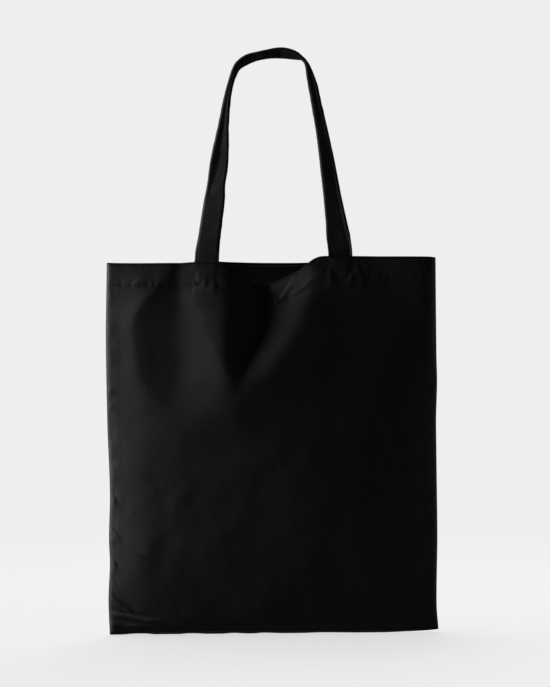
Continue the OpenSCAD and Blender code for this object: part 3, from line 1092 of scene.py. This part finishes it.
STANDING_BEND = 26        # height above the mouth given for the end of the front handle's bend; the bend is not made here
for name, body, surface, start, end in (
    ("front_strap", "front_handle", front_surface, (0, 0, Z_TOP), (0, 0, Z_TOP + STANDING_BEND)),
    ("back_strap", "back_handle", back_surface, (0, BACK_END_Y, Z_TOP + 2), (0, HANG_NEAR + 4, Z_TOP - 8)),
):
    place_handle(build_strap(name + "_cloth", surface), name)
    place_handle(build_strap_stitching(name + "_stitching_thread", surface),
                 name + "_stitching")


# ---- studio ----

FLOOR_DROP = 1.2          # the floor lies this far under the bottom seam's line
FLOOR_FULL_R = 0.6        # in metres, the floor is whole within this radius and has faded out at the next
FLOOR_GONE_R = 1.5
FLOOR_GLOW_SEEN = 0.78
FLOOR_GLOW_CAST = 0.34
VIEW_H = 793.5            # height of the view at the bag
VIEW_X = 4.1              # the camera stands straight in front of this point
VIEW_Z = -327.6
VIEW_ROLL = -0.5          # in degrees
LENS = 85
SENSOR_W = 36


def floor_material():
    """Matt pale paper that glows a little, as a lit sweep does, and fades into the backdrop further off."""
    material, tree, shader = new_material("pale floor")
    shader.inputs["Base Color"].default_value = (0.45, 0.447, 0.45, 1)
    shader.inputs["Roughness"].default_value = 0.8
    shader.inputs["Specular IOR Level"].default_value = 0
    shader.inputs["Emission Color"].default_value = (0.862, 0.854, 0.858, 1)
    path = tree.nodes.new("ShaderNodeLightPath")
    glow = map_range(tree, path.outputs["Is Camera Ray"], FLOOR_GLOW_CAST, FLOOR_GLOW_SEEN)
    tree.links.new(glow.outputs["Result"], shader.inputs["Emission Strength"])
    coords = tree.nodes.new("ShaderNodeTexCoord")
    far = tree.nodes.new("ShaderNodeVectorMath")
    far.operation = "LENGTH"
    tree.links.new(coords.outputs["Object"], far.inputs[0])
    fade = map_range(tree, far.outputs["Value"], 1, 0, FLOOR_FULL_R, FLOOR_GONE_R)
    fade.interpolation_type = "SMOOTHSTEP"
    tree.links.new(fade.outputs["Result"], shader.inputs["Alpha"])
    return material


def build_floor():
    """A flat square floor under the bag."""
    size = FLOOR_GONE_R
    corners = [(-size, -size, 0), (size, -size, 0), (size, size, 0), (-size, size, 0)]
    mesh = bpy.data.meshes.new("floor")
    mesh.from_pydata(corners, [], [(0, 1, 2, 3)])
    floor = make_object("floor", mesh, floor_material())
    floor.location = (0, 0, (Z_BOTTOM - FLOOR_DROP) * MM)


def build_world():
    """A pale backdrop for the eye, which lights the bag only a little."""
    world = bpy.data.worlds.new("studio")
    bpy.context.scene.world = world
    world.use_nodes = True
    nodes = world.node_tree.nodes
    link = world.node_tree.links.new
    seen = nodes.new("ShaderNodeBackground")
    seen.inputs["Color"].default_value = (0.868, 0.854, 0.860, 1)
    lights = nodes["Background"]
    lights.inputs["Color"].default_value = (0.9, 0.9, 0.95, 1)
    lights.inputs["Strength"].default_value = 0.032
    path = nodes.new("ShaderNodeLightPath")
    mix = nodes.new("ShaderNodeMixShader")
    link(path.outputs["Is Camera Ray"], mix.inputs["Fac"])
    link(lights.outputs[0], mix.inputs[1])
    link(seen.outputs[0], mix.inputs[2])
    link(mix.outputs[0], nodes["World Output"].inputs["Surface"])


def area_light(name, place_m, aim_m, size, power, colour=(1, 1, 1)):
    """A panel of light, in metres and watts, turned to the point it is aimed at."""
    light = bpy.data.lights.new(name, "AREA")
    light.shape = "RECTANGLE"
    light.size, light.size_y = size
    light.energy = power
    light.color = colour
    obj = bpy.data.objects.new(name, light)
    obj.location = place_m
    obj.rotation_mode = "QUATERNION"
    obj.rotation_quaternion = (Vector(aim_m) - Vector(place_m)).to_track_quat("-Z", "Y")
    obj.visible_camera = False
    bpy.context.scene.collection.objects.link(obj)
    return obj


def build_lights():
    """A strong light from the left, a weak one from the right, and one from above and behind."""
    middle = Vector((0, 0, (Z_TOP + Z_BOTTOM) / 2 * MM))
    key = area_light("key", middle + Vector((-1.5, -0.03, 0.5)), middle, size=(0.6, 1.2), power=136,
                     colour=(1, 0.97, 1))
    area_light("right fill", middle + Vector((1.5, -0.03, -0.1)), middle, size=(0.6, 1.2), power=10)
    area_light("overhead", (-0.35, 0.6, 1.5), (0, 0, Z_BOTTOM * MM), size=(2.4, 0.9), power=25)
    # a flag keeps the key light off the floor
    shaded = bpy.data.collections.new("out of the key light")
    shaded.objects.link(bpy.data.objects["floor"])
    shaded.collection_objects[0].light_linking.link_state = "EXCLUDE"
    key.light_linking.receiver_collection = shaded


def build_camera():
    """A level camera, slightly rolled, as far off as a short telephoto lens needs."""
    data = bpy.data.cameras.new("camera")
    data.sensor_fit = "AUTO"
    data.sensor_width = SENSOR_W
    data.lens = LENS
    camera = bpy.data.objects.new("camera", data)
    distance = VIEW_H * MM * data.lens / data.sensor_width
    camera.location = (VIEW_X * MM, -distance, VIEW_Z * MM)
    level = Matrix.Rotation(math.radians(90), 3, "X")
    roll = Matrix.Rotation(math.radians(VIEW_ROLL), 3, "Z")
    camera.rotation_euler = (level @ roll).to_euler()
    bpy.context.scene.collection.objects.link(camera)
    bpy.context.scene.camera = camera


build_floor()
build_world()
build_lights()
build_camera()
bpy.context.scene.view_settings.view_transform = "Standard"
